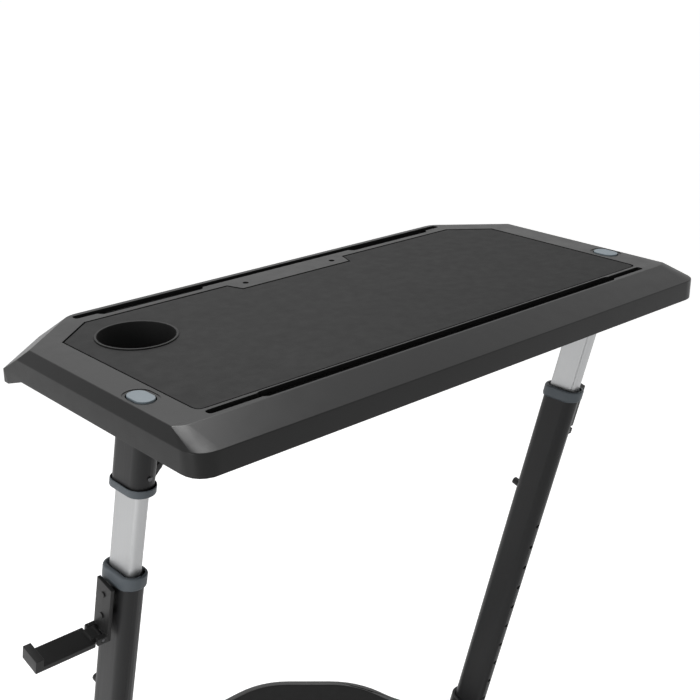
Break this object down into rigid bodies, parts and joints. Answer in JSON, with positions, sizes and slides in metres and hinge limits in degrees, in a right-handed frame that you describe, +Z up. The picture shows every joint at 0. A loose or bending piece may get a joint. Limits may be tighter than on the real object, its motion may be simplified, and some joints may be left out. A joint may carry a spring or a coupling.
{
  "type": "bike trainer desk",
  "caption": "Height-adjustable desk on leaning telescopic legs and a low open base, with a matted top, device slots, a cup well and folding side hooks.",
  "frame": {"origin": "on the floor, under the middle of the box round the whole desk as it stands, the open hook included", "axes": "+Z up, +X to the rider's right, +Y away from the rider"},
  "size_m": [0.8908, 0.673, 0.9262],
  "materials": {
    "desktop": "satin moulded plastic",
    "mat": "matt soft mat",
    "tray": "matt black plastic",
    "tube": "satin anodised aluminium",
    "black_metal": "black anodised aluminium",
    "collar": "matt grey plastic",
    "button": "matt light grey plastic",
    "hook": "matt black plastic",
    "steel": "plain steel",
    "base": "dark grey powder coat",
    "rear_base": "satin dark grey moulded plastic",
    "rubber": "matt rubber"
  },
  "bodies": {
    "base": {"rear_frame": "rear_base", "rear_tread": "rubber", "left_outer_tube": "black_metal", "left_lower_collar": "collar", "left_stop_knob": "hook", "left_hook_plate": "hook", "left_hook_screw_1": "hook", "left_hook_screw_2": "hook", "left_hook_pin": "steel", "left_leg_socket": "hook", "left_side_rail": "base", "left_rail_cap": "hook", "left_front_foot": "rubber", "left_rear_foot": "rubber", "left_wheel_axle": "steel", "right_outer_tube": "black_metal", "right_lower_collar": "collar", "right_stop_knob": "hook", "right_hook_plate": "hook", "right_hook_screw_1": "hook", "right_hook_screw_2": "hook", "right_hook_pin": "steel", "right_leg_socket": "hook", "right_side_rail": "base", "right_rail_cap": "hook", "right_front_foot": "rubber", "right_rear_foot": "rubber", "right_wheel_axle": "steel"},
    "top": {"desktop_shell": "desktop", "desktop_mat": "mat", "front_slot_tray": "tray", "rear_slot_tray": "tray", "cup_holder": "tray", "cross_beam": "black_metal", "left_leg_sleeve": "black_metal", "left_upper_collar": "collar", "left_sleeve_screw": "steel", "left_sleeve_bracket": "black_metal", "left_inner_tube": "tube", "left_glide_block": "collar", "left_button_spring": "steel", "right_leg_sleeve": "black_metal", "right_upper_collar": "collar", "right_sleeve_screw": "steel", "right_sleeve_bracket": "black_metal", "right_inner_tube": "tube", "right_glide_block": "collar", "right_button_spring": "steel"},
    "left_button": {"left_release_button": "button", "left_push_rod": "steel"},
    "right_button": {"right_release_button": "button", "right_push_rod": "steel"},
    "left_pin": {"left_lock_pin": "steel"},
    "right_pin": {"right_lock_pin": "steel"},
    "left_hook": {"left_hook_arm": "hook"},
    "right_hook": {"right_hook_arm": "hook"},
    "left_wheel": {"left_transport_wheel": "rubber"},
    "right_wheel": {"right_transport_wheel": "rubber"}
  },
  "joints": [
    {"name": "height_slide", "type": "slide", "parent": "base", "child": "top", "axis": [0, -0.2419, 0.9703], "range_m": [-0.084, 0.294]},
    {"name": "left_button_press", "type": "slide", "parent": "top", "child": "left_button", "axis": [0, 0.2419, -0.9703], "range_m": [0, 0.004], "stiffness_N_per_m": 1200, "springref_m": -0.004, "deforming": ["left_button_spring"]},
    {"name": "right_button_press", "type": "slide", "parent": "top", "child": "right_button", "axis": [0, 0.2419, -0.9703], "range_m": [0, 0.004], "stiffness_N_per_m": 1200, "springref_m": -0.004, "deforming": ["right_button_spring"]},
    {"name": "left_pin_slide", "type": "slide", "parent": "top", "child": "left_pin", "axis": [0, 0.9703, 0.2419], "range_m": [0, 0.004]},
    {"name": "right_pin_slide", "type": "slide", "parent": "top", "child": "right_pin", "axis": [0, 0.9703, 0.2419], "range_m": [0, 0.004]},
    {"name": "left_hook_fold", "type": "hinge", "parent": "base", "child": "left_hook", "pos_m": [-0.3647, -0.13257, 0.63192], "axis": [0, 0.9703, 0.2419], "range_deg": [0, 90]},
    {"name": "right_hook_fold", "type": "hinge", "parent": "base", "child": "right_hook", "pos_m": [0.4387, -0.13257, 0.63192], "axis": [0, 0.9703, 0.2419], "range_deg": [0, 90]},
    {"name": "left_wheel_spin", "type": "hinge", "parent": "base", "child": "left_wheel", "pos_m": [-0.083, 0.3215, 0.016], "axis": [1, 0, 0], "continuous": true},
    {"name": "right_wheel_spin", "type": "hinge", "parent": "base", "child": "right_wheel", "pos_m": [0.157, 0.3215, 0.016], "axis": [1, 0, 0], "continuous": true}
  ],
  "couplings": [
    {"joint": "left_pin_slide", "follows": "left_button_press", "ratio": 1},
    {"joint": "right_pin_slide", "follows": "right_button_press", "ratio": 1}
  ]
}
